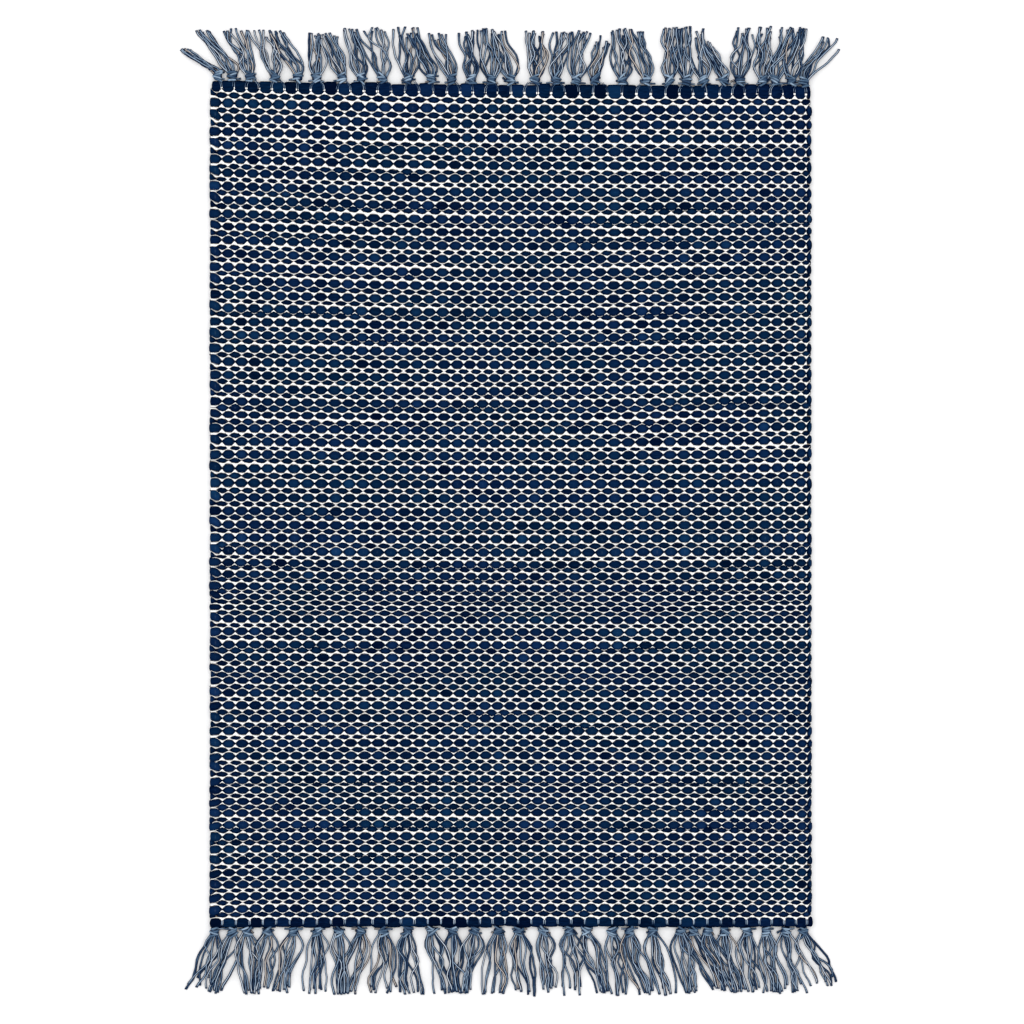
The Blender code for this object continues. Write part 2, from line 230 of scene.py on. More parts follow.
class Level:
    """A number in a finish's nodes. Sums with it add Math nodes."""

    def __init__(self, finish, socket):
        self.finish = finish
        self.socket = socket

    def sum(self, operation, *others):
        values = [self, *others]
        return self.finish.math(operation, *values)

    def __add__(self, other):
        return self.sum("ADD", other)

    __radd__ = __add__

    def __mul__(self, other):
        return self.sum("MULTIPLY", other)

    __rmul__ = __mul__

    def __sub__(self, other):
        return self.sum("SUBTRACT", other)

    def __rsub__(self, other):
        return self.finish.math("SUBTRACT", other, self)

    def __truediv__(self, other):
        return self.sum("DIVIDE", other)

    def __pow__(self, other):
        return self.sum("POWER", other)

    def __mod__(self, other):
        return self.sum("FLOORED_MODULO", other)

    def __abs__(self):
        return self.sum("ABSOLUTE")


class Finish:
    """A cloth finish: a material whose nodes are added one at a time."""

    def __init__(self, name, roughness=0.95, specular=0.1):
        self.material = bpy.data.materials.new(name)
        self.material.use_nodes = True
        self.tree = self.material.node_tree
        self.shader = self.tree.nodes["Principled BSDF"]
        self.shader.inputs["Roughness"].default_value = roughness
        self.shader.inputs["Specular IOR Level"].default_value = specular

    def feed(self, node, key, value):
        socket = node.inputs[key]
        if isinstance(value, Level):
            value = value.socket
        if isinstance(value, bpy.types.NodeSocket):
            self.tree.links.new(value, socket)
        else:
            socket.default_value = value

    def node(self, kind, settings=None, values=None, out=0):
        made = self.tree.nodes.new("ShaderNode" + kind)
        for key, value in (settings or {}).items():
            setattr(made, key, value)
        for key, value in (values or {}).items():
            self.feed(made, key, value)
        return made.outputs[out]

    def math(self, operation, *values):
        made = self.node("Math", {"operation": operation}, dict(enumerate(values)))
        return Level(self, made)

    def attribute(self, name):
        return Level(self, self.node("Attribute", {"attribute_name": name}, out="Fac"))

    def noise(self, scale, stretch=(1.0, 1.0, 1.0), detail=2.0, rough=0.5):
        """Cloudy noise in object space, with scale in waves a millimetre along each way."""
        place = self.node("TexCoord", out="Object")
        size = [scale * s / MM for s in stretch]
        placed = self.node("Mapping", {}, {"Vector": place, "Scale": size})
        values = {"Vector": placed, "Scale": 1.0, "Detail": detail, "Roughness": rough}
        return Level(self, self.node("TexNoise", {}, values, out="Fac"))

    def step(self, value, low, high, start=0.0, end=1.0):
        """start below low, end above high, and smooth between them."""
        values = {"Value": value, "From Min": low, "From Max": high, "To Min": start, "To Max": end}
        return Level(self, self.node("MapRange", {"interpolation_type": "SMOOTHSTEP"}, values))

    def blend(self, factor, first, second):
        """A colour between two colours."""
        first = (*first, 1.0) if isinstance(first, tuple) else first
        second = (*second, 1.0) if isinstance(second, tuple) else second
        settings = {"data_type": "RGBA"}
        return self.node("Mix", settings, {0: factor, 6: first, 7: second}, out=2)

    def colour(self, value):
        self.feed(self.shader, "Base Color", value)

    def bump(self, height, strength, depth):
        values = {"Height": height, "Strength": strength, "Distance": depth * MM}
        self.feed(self.shader, "Normal", self.node("Bump", {}, values))


def weft_finish(name, dark, middle, light):
    """Soft navy cotton cord: its fibres run along the row, and each bead has its own depth.
    Its rims, lower face and the links between beads are darkened as painted shade, and a
    small lighter spot on the middle of each bead's crown is a painted highlight.
    """
    finish = Finish(name, 0.95, 0.0)
    tone = finish.attribute("tone")
    column = finish.attribute("column")
    crown = finish.attribute("crown")
    fibres = finish.noise(1.0, (0.14, 1.1, 1.1), 3.0, 0.6)
    patches = finish.noise(0.012, (0.5, 1.6, 0.0), 1.0)
    near_middle = 1.0 - abs((column % 1.0) - 0.5) * 2.0
    depth = tone + (fibres - 0.5) * 0.7
    body = finish.blend(finish.step(depth, 0.05, 0.62), dark, middle)
    body = finish.blend(finish.step(depth, 0.50, 1.05), body, light)
    # Painted shade: where crown is low, on the bead's rims and in the links between beads, the colour goes
    # to the dark navy.
    body = finish.blend(finish.step(crown, 0.30, 0.96), dark, body)
    # Painted highlight: a small lighter spot where the middle of a bead's crown faces up.
    painted_highlight = finish.step(near_middle, 0.84, 0.99) * finish.step(crown, 0.85, 0.99)
    body = finish.blend(painted_highlight * 0.35, body, (0.042, 0.070, 0.120))
    shade = finish.blend(finish.step(patches, 0.38, 0.62), (1.10, 0.96, 1.05), (0.86, 1.05, 0.96))
    settings = {"data_type": "RGBA", "blend_type": "MULTIPLY"}
    body = finish.node("Mix", settings, {0: 1.0, 6: body, 7: shade}, out=2)
    finish.colour(body)
    finish.bump(fibres, 0.5, 0.5)
    return finish.material


def pick_finish():
    """White cotton yarn, with the warp's buff colour where it ties the thin weft down."""
    finish = Finish("white_pick_yarn", 0.95, 0.0)
    column = finish.attribute("column")
    side = finish.attribute("side")
    fibres = finish.noise(1.2, (0.2, 1.0, 1.0), 2.0, 0.6)
    speckle = finish.noise(0.09, (1.0, 1.0, 0.0), 2.0, 0.6)
    near_tie = abs((column % 1.0) - 0.5) * 2.0
    tie = finish.step(near_tie, 0.80, 0.96) * finish.step(side, 0.25, 0.8)
    tie = tie * finish.step(speckle, 0.38, 0.60, 0.15, 0.8)
    body = finish.blend(finish.step(fibres, 0.3, 0.7), (0.96, 0.94, 0.915), (0.985, 0.975, 0.96))
    body = finish.blend(tie, body, (0.42, 0.29, 0.20))
    finish.colour(body)
    finish.bump(fibres, 0.3, 0.3)
    return finish.material


def ground_finish():
    finish = Finish("buff_warp", 0.95, 0.05)
    lines = finish.noise(0.6, (1.0, 0.1, 1.0), 2.0)
    finish.colour(finish.blend(lines, (0.30, 0.25, 0.20), (0.46, 0.40, 0.34)))
    finish.bump(lines, 0.4, 0.3)
    return finish.material


def yarn_finish(name):
    """Blue-grey warp yarn: tone picks how light each yarn is, and its cut end is darker. Its flanks,
    where crown is low, are darkened as painted shade.
    """
    finish = Finish(name, 0.9, 0.05)
    tone = finish.attribute("tone")
    along = finish.attribute("along")
    crown = finish.attribute("crown")
    fibres = finish.noise(0.9, (1.0, 1.0, 1.0), 3.0, 0.6)
    dye = finish.noise(0.10, (1.0, 1.0, 1.0), 1.0)
    depth = tone + (fibres - 0.5) * 0.30 + (dye - 0.5) * 0.5
    body = finish.blend(finish.step(depth, 0.0, 0.34), (0.018, 0.042, 0.092), (0.065, 0.118, 0.195))
    body = finish.blend(finish.step(depth, 0.26, 0.54), body, (0.31, 0.42, 0.55))
    body = finish.blend(finish.step(depth, 0.56, 0.84), body, (0.60, 0.67, 0.75))
    body = finish.blend(finish.step(tone, 0.90, 0.94), body, (0.60, 0.53, 0.46))
    # Painted shade: the flanks of each yarn go to near-black navy where crown is low.
    body = finish.blend(finish.step(crown, 0.81, 0.97), (0.003, 0.012, 0.042), body)
    body = finish.blend(finish.step(along, 0.955, 0.985) * 0.9, body, (0.008, 0.022, 0.058))
    finish.colour(body)
    finish.bump(fibres, 0.4, 0.3)
    return finish.material


# Making yarns

def blank_yarn(sides, steps):
    """A bar along z from 0 to 1 with so many sides, cut into even steps and closed at both ends."""
    bm = bmesh.new()
    bmesh.ops.create_cone(bm, cap_ends=True, segments=sides, radius1=1.0, radius2=1.0, depth=1.0)
    long_edges = [e for e in bm.edges if abs(e.verts[0].co.z - e.verts[1].co.z) > 0.5]
    bmesh.ops.subdivide_edges(bm, edges=long_edges, cuts=steps - 1)
    bmesh.ops.translate(bm, verts=bm.verts, vec=(0.0, 0.0, 0.5))
    blank = bpy.data.meshes.new("blank")
    bm.to_mesh(blank)
    bm.free()
    return blank


def lay_map(mesh):
    """The upper faces seen from above fill half of the map, and the lower faces the other half."""
    count = len(mesh.vertices)
    co = np.empty(count * 3)
    mesh.vertices.foreach_get("co", co)
    co = co.reshape(-1, 3)
    low = co.min(axis=0)
    span = np.maximum(co.max(axis=0) - low, 1e-6)
    faces = len(mesh.polygons)
    normals = np.empty(faces * 3)
    mesh.polygons.foreach_get("normal", normals)
    upper = normals.reshape(-1, 3)[:, 2] >= 0.0
    totals = np.empty(faces, np.int32)
    mesh.polygons.foreach_get("loop_total", totals)
    corner = np.empty(len(mesh.loops), np.int32)
    mesh.loops.foreach_get("vertex_index", corner)
    flat = (co[corner] - low) / span
    is_upper = np.repeat(upper, totals)
    places = np.empty((len(corner), 2))
    places[:, 0] = 0.002 + 0.996 * flat[:, 0]
    places[:, 1] = 0.002 + 0.494 * flat[:, 1] + np.where(is_upper, 0.502, 0.0)
    layer = mesh.uv_layers.new(name="OFBake")
    layer.data.foreach_set("uv", places.ravel())


def dress(mesh, name, finish, facts):
    """Turns a mesh into a smooth piece of the rug with its attributes, map and finish."""
    for key, values in facts.items():
        made = mesh.attributes.new(key, "FLOAT", "POINT")
        made.data.foreach_set("value", np.ascontiguousarray(values, dtype=np.float32))
    mesh.polygons.foreach_set("use_smooth", np.ones(len(mesh.polygons), bool))
    mesh.update()
    lay_map(mesh)
    mesh.materials.append(finish)
    piece = bpy.data.objects.new(name, mesh)
    bpy.context.scene.collection.objects.link(piece)
    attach(piece, "root")
    return piece


def copies(name, blank, count):
    """A mesh of count copies of blank, its points, and which copy each point belongs to."""
    many = bmesh.new()
    for number in range(count):
        many.from_mesh(blank)
    mesh = bpy.data.meshes.new(name)
    many.to_mesh(mesh)
    many.free()
    co = np.empty(len(mesh.vertices) * 3)
    mesh.vertices.foreach_get("co", co)
    return mesh, co.reshape(-1, 3), np.repeat(np.arange(count), len(blank.vertices))


def yarns(name, finish, count, sides, steps, shape):
    """count closed yarns in one mesh. shape(number, share, turn) returns the points in
    millimetres and the facts, where share runs along a yarn and turn round it."""
    mesh, co, number = copies(name, blank_yarn(sides, steps), count)
    share = np.round(co[:, 2] * steps) / steps
    turn = np.arctan2(co[:, 1], co[:, 0])
    points, facts = shape(number, share, turn)
    mesh.vertices.foreach_set("co", (points * MM).ravel())
    return dress(mesh, name, finish, facts)


def rounded(turn, power=0.75):
    """The across and up parts of a full-bodied section."""
    across = np.sign(np.cos(turn)) * np.abs(np.cos(turn)) ** power
    up = np.sign(np.sin(turn)) * np.abs(np.sin(turn)) ** power
    return across, up


def along_path(path, number, share, turn, width, height):
    """Points round a path whose yarns lie nearly level: width across it and height up."""
    step = 1e-3
    before = path(number, np.clip(share - step, 0.0, 1.0))
    after = path(number, np.clip(share + step, 0.0, 1.0))
    middle = path(number, share)
    way = after - before
    way /= np.maximum(np.linalg.norm(way, axis=1), 1e-9)[:, None]
    level = np.stack([-way[:, 1], way[:, 0], np.zeros(len(way))], axis=1)
    level /= np.maximum(np.linalg.norm(level, axis=1), 1e-9)[:, None]
    rise = np.cross(way, level)
    return middle + level * (width * np.cos(turn))[:, None] + rise * (height * np.sin(turn))[:, None]


# The woven field

chance = np.random.default_rng(41)


def bow(x, y):
    """How far the rows rise towards the sides."""
    left = LEFT_RISE * np.clip(-x / LEFT_WIDTH, 0.0, 1.0) ** 1.3
    right = RIGHT_RISE * np.clip((x - RIGHT_START) / RIGHT_WIDTH, 0.0, 1.0)
    left_share = np.interp(y, *zip(*LEFT_SHARES))
    right_share = np.interp(y, *zip(*RIGHT_SHARES))
    return left * left_share + right * right_share - slack(x, y)


def slack(x, y):
    """How far the rows have slipped here, between the charted places."""
    y = np.broadcast_to(y, x.shape)
    lines = np.stack([np.interp(-y, -np.array(SLACK_DOWN), line) for line in SLACK])
    place = np.interp(x, SLACK_ACROSS, np.arange(len(SLACK_ACROSS)))
    before = np.clip(np.floor(place).astype(int), 0, len(SLACK_ACROSS) - 2)
    share = place - before
    here = np.arange(len(x))
    return lines[before, here] * (1.0 - share) + lines[before + 1, here] * share


def drift(x, y, size):
    """Slow unevenness over the whole cloth."""
    a = np.sin(x / 71.0 + y / 43.0 + 1.3) * np.cos(y / 31.0 - x / 160.0)
    b = np.sin(x / 29.0 - y / 17.0 + 0.4) * 0.5
    c = np.sin(x / 113.0 + 2.0) * np.sin(y / 23.0 + 0.7)
    return size * (a + b + c) / 1.8


def column_x(column, y):
    """The x of a warp column, whole or between two, at this y."""
    table = np.array(COLUMNS)
    place = np.interp(-y, -np.array(COLUMN_PLACES, float), np.arange(len(COLUMN_PLACES)))
    before = np.clip(np.floor(place).astype(int), 0, len(COLUMN_PLACES) - 2)
    share = place - before
    places = range(len(COLUMN_PLACES))
    lines = np.stack([np.interp(column, table[:, 0], table[:, 1 + k]) for k in places])
    here = np.arange(len(column))
    x = lines[before, here] * (1.0 - share) + lines[before + 1, here] * share
    inner = np.clip((x - LEFT_EDGE) / 30.0, 0.0, 1.0) * np.clip((RIGHT_EDGE - x) / 30.0, 0.0, 1.0)
    return x + inner * (drift(y * 2.3, x * 0.6, 0.35) + 0.35 * np.sin(y * 1.9 + np.sin(y)))


THICK = np.array(THICK_ROWS)
THIN = np.array(THIN_ROWS)
CLIMB = np.array(LEFT_CLIMB)
ROWS = len(THICK_ROWS)
THICK_HALVES = np.array(THICK_TALL) / 2.0 + 1.25
THIN_HALVES = np.array(THIN_TALL) / 2.0 + 1.08
THIN_LINKS = np.array(THIN_LINK)
THICK_LINKS = np.clip(0.85 + (THICK_HALVES - 5.1) * 0.3, 0.4, 1.0)
THICK_GROWTH = 1.0 + np.clip(chance.normal(0.0, 0.03, (ROWS, 48)), -0.06, 0.06)
THIN_GROWTH = 1.0 + np.clip(chance.normal(0.0, 0.06, (ROWS + 1, 48)), -0.15, 0.15)
THICK_TONES = np.clip(chance.normal(0.50, 0.14, (ROWS, 48)), 0.14, 0.95)
THIN_TONES = np.clip(chance.normal(0.47, 0.14, (ROWS + 1, 48)), 0.14, 0.95)
THIN_SWAY = chance.uniform(0.0, 6.28, ROWS + 1)


def heading_edge(x, far):
    """The outer edge of a heading, which droops at the right corner of the far end."""
    if not far:
        return FIELD_NEAR + 0.7 * bow(x, FIELD_NEAR) - GAP - NEAR_HEADING_WIDTH
    droop = 2.3 * np.clip((x - 275.0) / 24.0, 0.0, None) ** 2
    return FIELD_FAR + GAP + HEADING_WIDTH + 0.62 * (bow(x, FIELD_FAR) + 0.5) - droop


def heading_inner(x, far):
    end = FIELD_FAR if far else FIELD_NEAR
    return end + bow(x, end) + (-1.9 if far else 0.5)


def left_turn(x, width):
    """One at the left edge, falling to nothing over a width."""
    return np.clip((LEFT_EDGE + width - x) / width, 0.0, 1.0)


def thick_middle(row, x):
    """Every other thick row climbs at its left end, where the weft turns back."""
    y = THICK[row]
    turned = left_turn(x, 13.0)
    climb = CLIMB[row] * turned * turned * (3.0 - 2.0 * turned)
    return y + bow(x, y) + drift(x, y, 0.35) + climb


def thin_middle(row, x):
    y = THIN[row]
    wave = 0.28 * np.sin(x / 47.0 + THIN_SWAY[row])
    climb = (CLIMB[np.maximum(row - 1, 0)] + CLIMB[np.minimum(row, ROWS - 1)]) / 2.0
    climb = np.where(row == 0, 4.2, climb) * left_turn(x, 6.5) * (row % 2 == 0)
    return y + bow(x, y) + drift(x, y, 0.35) + wave + climb


def thick_half(row, column):
    """Half the height of a thick bead as seen from above, which closes to a pinch."""
    bead = np.clip(np.floor(column + 0.5), 0, 47).astype(int)
    near = np.abs(column - np.floor(column + 0.5)) * 2.0
    near = np.where(column < 0.0, 0.0, near)
    full = np.clip(1.0 - near ** 2.6, 0.0, 1.0) ** 0.93
    turn = np.exp(-((column - 0.02) / 0.28) ** 2) * (row % 2 == 1)
    full = full * (1.0 + 0.18 * turn - 0.12 * np.clip(-0.15 - column, 0.0, 0.3) / 0.3)
    link = THICK_LINKS[row]
    return link + (THICK_HALVES[row] * THICK_GROWTH[row, bead] - link) * full


def thin_half(row, column):
    """Half the height of a thin bead. Its link to the next is dark where the row is full."""
    bead = np.clip(np.floor(column), 0, 47).astype(int)
    near = np.abs(column - np.floor(column) - 0.5) * 2.0
    full = np.clip(1.0 - (near / 0.92) ** 2.5, 0.0, 1.0) ** 0.93
    link = THIN_LINKS[row]
    inside = link + (THIN_HALVES[row] * THIN_GROWTH[row, bead] - link) * full
    turn = np.where(row % 2 == 0, 0.9 + 3.6 * np.clip((0.06 - column) / 0.5, 0.0, 1.0) ** 0.7, 0.5)
    turn = np.where(row == ROWS, 2.6, turn)
    return np.where(column < 0.06, turn, inside)


def heading_half(column, far, outer=False):
    """How full a heading's bead is towards the field, or towards the fringe."""
    near = np.abs(column - np.floor(column + 0.5)) * 2.0
    if far:
        power, sharp, link = (6.0, 0.6, 0.78) if outer else (2.9, 0.62, 0.42)
    else:
        power, sharp, link = (3.0, 0.6, 0.84) if outer else (2.7, 0.6, 0.46)
    return link + (1.0 - link) * np.clip(1.0 - near ** power, 0.0, 1.0) ** sharp


def ring_columns(phases, first, last):
    """The columns at which a row's rings sit, from its left end to its right end."""
    every = [bead + phase for bead in range(-1, 47) for phase in phases]
    inside = [c for c in every if first + 0.02 < c < last - 0.02]
    return np.array([first] + inside + [last])


def row_ends(rings):
    """Two more rings close to each end, to round it."""
    first = [rings[0], rings[0] + 0.05, rings[0] + 0.15]
    last = [rings[-1] - 0.15, rings[-1] - 0.05, rings[-1]]
    between = [c for c in rings if first[-1] + 0.02 < c < last[0] - 0.02]
    return np.array(first + between + last)


def weft_rows(name, finish, rows, rings, middle, half, tones, top, low, centre_at, sides):
    """Rows of one weft. It shows beads on the upper face between the odd warps and on the
    lower face between the even ones, so each ring is wide on one side and pinched on the other."""
    steps = len(rings) - 1
    left_shift = chance.uniform(-0.9, 0.5, ROWS + 1)
    right_shift = chance.uniform(-0.7, 0.4, ROWS + 1)

    def shape(number, share, turn):
        row = rows[number]
        column = rings[np.round(share * steps).astype(int)]
        x = column_x(column, THICK[np.minimum(row, ROWS - 1)])
        x = x + (column < 0.0) * left_shift[row] + (column > 44.7) * right_shift[row]
        y = middle(row, x)
        upper = half(row, column)
        lower = half(row, column + 0.5)
        across, up = rounded(turn)
        width = np.where(up > 0.2, upper, np.where(up < -0.2, lower, 0.5 * (upper + lower)))
        largest = 1.08 * half(rows, np.full(len(rows), 20.0 + centre_at)).max()
        swell = np.minimum(upper / largest, 1.0)
        sink = np.minimum(lower / largest, 1.0)
        ceiling = low[0] + (top[0] - low[0]) * swell ** 0.7
        bottom = low[1] + (top[1] - low[1]) * sink ** 0.7
        z = np.where(up > 0.0, MIDDLE + (ceiling - MIDDLE) * up, MIDDLE + (MIDDLE - bottom) * up)
        from_end = np.minimum(np.round(share * steps), np.round((1.0 - share) * steps))
        shrink = np.interp(from_end, (0, 1, 2), (0.42, 0.86, 1.0))
        points = np.stack([x, y + across * width * shrink, MIDDLE + (z - MIDDLE) * shrink], axis=1)
        bead = np.clip(np.floor(column + 0.5 - centre_at), 0, 47).astype(int)
        facts = {
            "tone": tones[row, bead],
            "column": column + 0.5 - centre_at,
            # crown is how high up the bead a point lies; the finish darkens low crowns as painted shade.
            "crown": np.clip(np.abs(up), 0.0, 1.0) * np.where(up > 0.0, swell, sink),
        }
        return points, facts

    return yarns(name, finish, len(rows), sides, steps, shape)


def white_picks(name, finish, gaps, rings):
    """The white picks, one in each gap between two rows, as wide as the beads leave."""
    steps = len(rings) - 1

    def edge(row, column, x, sign):
        """The edge of a row of the field, or of a heading, on the side that sign says."""
        far = row < 0
        near = row > 2 * ROWS
        thick = row % 2 == 1
        safe_thick = np.clip((row - 1) // 2, 0, ROWS - 1)
        safe_thin = np.clip(row // 2, 0, ROWS)
        y = np.where(
            thick,
            thick_middle(safe_thick, x) + sign * thick_half(safe_thick, column),
            thin_middle(safe_thin, x) + sign * thin_half(safe_thin, column),
        )
        inner = heading_inner(x, True)
        outer = heading_edge(x, True)
        far_edge = (inner + outer) / 2.0 - (outer - inner) / 2.0 * heading_half(column, True)
        inner = heading_inner(x, False)
        outer = heading_edge(x, False)
        near_edge = (inner + outer) / 2.0 + (inner - outer) / 2.0 * heading_half(column, False)
        return np.where(far, far_edge, np.where(near, near_edge, y))

    def shape(number, share, turn):
        gap = gaps[number]
        column = rings[np.round(share * steps).astype(int)]
        y_guess = THICK[np.clip((gap - 1) // 2, 0, ROWS - 1)]
        x = column_x(column, y_guess)
        across, up = rounded(turn, 0.6)
        seen = np.where(up > -0.2, column, column + 0.5)
        high = edge(gap - 1, seen, x, -1.0)
        low = edge(gap, seen, x, 1.0)
        slant = 1.4 * np.clip((x - RIGHT_EDGE + 6.0) / 6.0, 0.0, 1.0) * (gap % 2 == 1)
        pinch = np.clip(1.0 - 5.0 * np.abs(seen - np.floor(seen + 0.5)), 0.0, 1.0)
        thin = np.clip(np.where(gap % 2 == 1, (gap - 1) // 2, gap // 2), 0, ROWS)
        tied = 0.5 * pinch * np.clip(1.0 - THIN_LINKS[thin] / 0.35, 0.0, 1.0)
        high = high + slant + np.where(gap % 2 == 1, tied, 0.0)
        low = low + slant - np.where(gap % 2 == 0, tied, 0.0)
        x = np.where((gap % 2 == 0) & (x > RIGHT_EDGE - 4.6), RIGHT_EDGE - 4.6, x)
        room = high - low
        width = np.maximum(room, 0.0) / 2.0 + 0.28
        sink = np.clip(1.0 - room / 1.2, 0.0, 1.0)
        ceiling = 7.95 - 1.4 * sink
        z = MIDDLE + np.where(up > 0.0, ceiling - MIDDLE, MIDDLE - 1.1) * up
        points = np.stack([x, (high + low) / 2.0 + across * width, z], axis=1)
        thin_above = gap % 2 == 1
        facts = {"column": column, "side": across * np.where(thin_above, 1.0, -1.0)}
        return points, facts

    return yarns(name, finish, len(gaps), 6, steps, shape)


def selvedge(name, finish):
    """The ends of the thick rows at the right side. Every other one runs on into the thin row."""
    count = ROWS
    tones = np.clip(chance.normal(0.42, 0.12, count), 0.1, 1.0)
    shift = chance.uniform(-0.5, 0.5, count)
    girth = chance.uniform(0.92, 1.08, count)

    def path(number, share):
        x = RIGHT_EDGE - 2.0 + shift[number] * 0.5
        one = thick_middle(number, x) + 3.1
        two = np.where(number % 2 == 0, thin_middle(number + 1, x) + 1.6, thick_middle(number, x) - 3.1)
        return np.stack([x, one + (two - one) * share, MIDDLE - 0.1 - 0.3 * share], axis=1)

    def shape(number, share, turn):
        full = np.sin(np.clip(share * 0.86 + 0.07, 0.0, 1.0) * math.pi) ** 0.35
        points = along_path(path, number, share, turn, 2.5 * full * girth[number], 3.8 * full)
        facts = {
            "tone": tones[number],
            "column": 0.25 * np.ones_like(share),
            # crown is low on the flanks of each end, which the finish darkens as painted shade.
            "crown": np.clip(np.abs(np.sin(turn)), 0.0, 1.0) * full,
        }
        return points, facts

    return yarns(name, finish, count, 8, 8, shape)


def heading_cord(name, finish, far):
    """The row of navy cord beads across one end."""
    first, last = (-0.30, 44.95) if far else (-0.48, 45.06)
    phases = (0.0, 0.2, 0.35, 0.44, 0.5, 0.56, 0.65, 0.8)
    rings = row_ends(ring_columns(phases, first, last))
    steps = len(rings) - 1
    side = 1.0 if far else -1.0
    growth = chance.uniform(-1.1, 0.8, 48)
    deeper = chance.uniform(-0.5, 0.7, 48)
    tones = np.clip(chance.normal(0.28, 0.12, 48), 0.05, 0.7)

    def shape(number, share, turn):
        column = rings[np.round(share * steps).astype(int)]
        bead = np.clip(np.floor(column + 0.5), 0, 47).astype(int)
        x = column_x(column, np.full(len(column), FIELD_FAR if far else FIELD_NEAR))
        inner = heading_inner(x, far)
        outer = heading_edge(x, far)
        full_in = heading_half(column, far)
        full_out = heading_half(column, far, True)
        across, up = rounded(turn, 0.7)
        middle = (inner + outer) / 2.0
        width = np.abs(outer - inner) / 2.0
        outward = across * side > 0.0
        reach = np.where(outward, (width + growth[bead]) * full_out, (width + deeper[bead]) * full_in)
        full = (full_in + full_out) / 2.0
        height = 3.85 * (0.40 + 0.60 * full)
        points = np.stack([x, middle + across * reach, MIDDLE + up * height], axis=1)
        from_end = np.minimum(np.round(share * steps), np.round((1.0 - share) * steps))
        shrink = np.interp(from_end, (0, 1, 2), (0.42, 0.86, 1.0))
        points[:, 1] = middle + (points[:, 1] - middle) * shrink
        # crown falls on the flanks and at the links between beads, where the finish paints shade.
        facts = {"tone": tones[bead], "column": 0.25 * np.ones_like(column), "crown": np.abs(up) * full}
        return points, facts

    return yarns(name, finish, 1, 10, steps, shape)


# Warp ends, knots and fringe

def heading_warps(name, finish, table, far, first, last, push, girth):
    """Pairs of warp threads between the heading's beads, drawn towards the nearest knot."""
    count = 90
    shift = chance.uniform(-0.3, 0.3, count)
    tones = np.clip(chance.normal(0.66, 0.12, count), 0.3, 0.86)
    lift = chance.uniform(0.0, 0.5, count)
    sizes = chance.uniform(0.72, 1.08, count)
    knots = np.array([knot[0] for knot in table], float)
    end = FIELD_FAR if far else FIELD_NEAR

    def path(number, share):
        gap = number // 2 + 0.5
        x = column_x(gap, np.full(len(gap), end))
        pull = knots[np.abs(knots[None, :] - x[:, None]).argmin(axis=1)] - x
        along = first + (last - first) * share
        bend = np.clip(pull, -5.0, 5.0) * push * np.clip((along - 0.62) / 0.5, 0.0, 1.0) ** 1.2
        y0 = heading_inner(x, far)
        y1 = heading_edge(x, far)
        z = 4.9 + lift[number] + 2.2 * np.clip(1.0 - np.abs(along - 0.6) / 0.75, 0.0, 1.0)
        pair = np.where(number % 2 == 0, -1.0, 1.0) * (0.80 if far else 0.62) + shift[number]
        return np.stack([x + pair + bend, y0 + (y1 - y0) * along, z], axis=1)

    def shape(number, share, turn):
        full = sizes[number] * np.sin(np.clip(share * 0.8 + 0.1, 0.0, 1.0) * math.pi) ** 0.4
        points = along_path(path, number, share, turn, girth * full, girth * full)
        along = first + (last - first) * share
        facts = {
            # tone falls towards the knot end as painted shade where the warps dip into the knots; crown
            # darkens their flanks, painted shade too.
            "tone": tones[number] - 0.42 * np.clip((along - 0.45) / 0.4, 0.0, 1.0),
            "along": share * 0.5,
            "crown": 0.30 + 0.70 * np.sin(turn),
            "column": 0.25 * np.ones_like(share),
            "side": np.zeros_like(share),
        }
        return points, facts

    return yarns(name, finish, count, 6, 5, shape)


def knot_cores(name, finish, table, far):
    """The body of each knot, a lumpy ball flattened on the floor."""
    side = 1.0 if far else -1.0
    ball = bmesh.new()
    bmesh.ops.create_uvsphere(ball, u_segments=12, v_segments=8, radius=1.0)
    blank = bpy.data.meshes.new("blank")
    ball.to_mesh(blank)
    ball.free()
    mesh, co, number = copies(name, blank, len(table))
    x = np.array([knot[0] for knot in table], float)[number]
    lump = 1.0 + 0.12 * np.sin(co[:, 0] * 5.0 + number) * np.cos(co[:, 1] * 4.0 + number * 2.0)
    out = KNOT_OUT[far] + co[:, 1] * KNOT_LONG[far] * 0.86 * lump
    points = np.stack(
        [
            x + co[:, 0] * 4.8 * lump,
            heading_edge(x, far) + side * out,
            np.maximum(3.9 + co[:, 2] * 3.7 * lump, 0.15),
        ],
        axis=1,
    )
    if not far:
        turn_faces_over(mesh)
    mesh.vertices.foreach_set("co", (points * MM).ravel())
    # The cores' low tone and a crown that lights only their tops darken the ball between the wraps:
    # painted shade.
    tones = np.clip(chance.normal(0.18, 0.06, len(table)), 0.0, 1.0)
    facts = {"tone": tones[number], "along": co[:, 2] * 0.2 + 0.4, "crown": 0.6 + 0.4 * co[:, 2]}
    return dress(mesh, name, finish, facts)


def turn_faces_over(mesh):
    """Turns the faces over, for copies whose outward way runs towards the near end."""
    bm = bmesh.new()
    bm.from_mesh(mesh)
    bmesh.ops.reverse_faces(bm, faces=bm.faces)
    bm.to_mesh(mesh)
    bm.free()


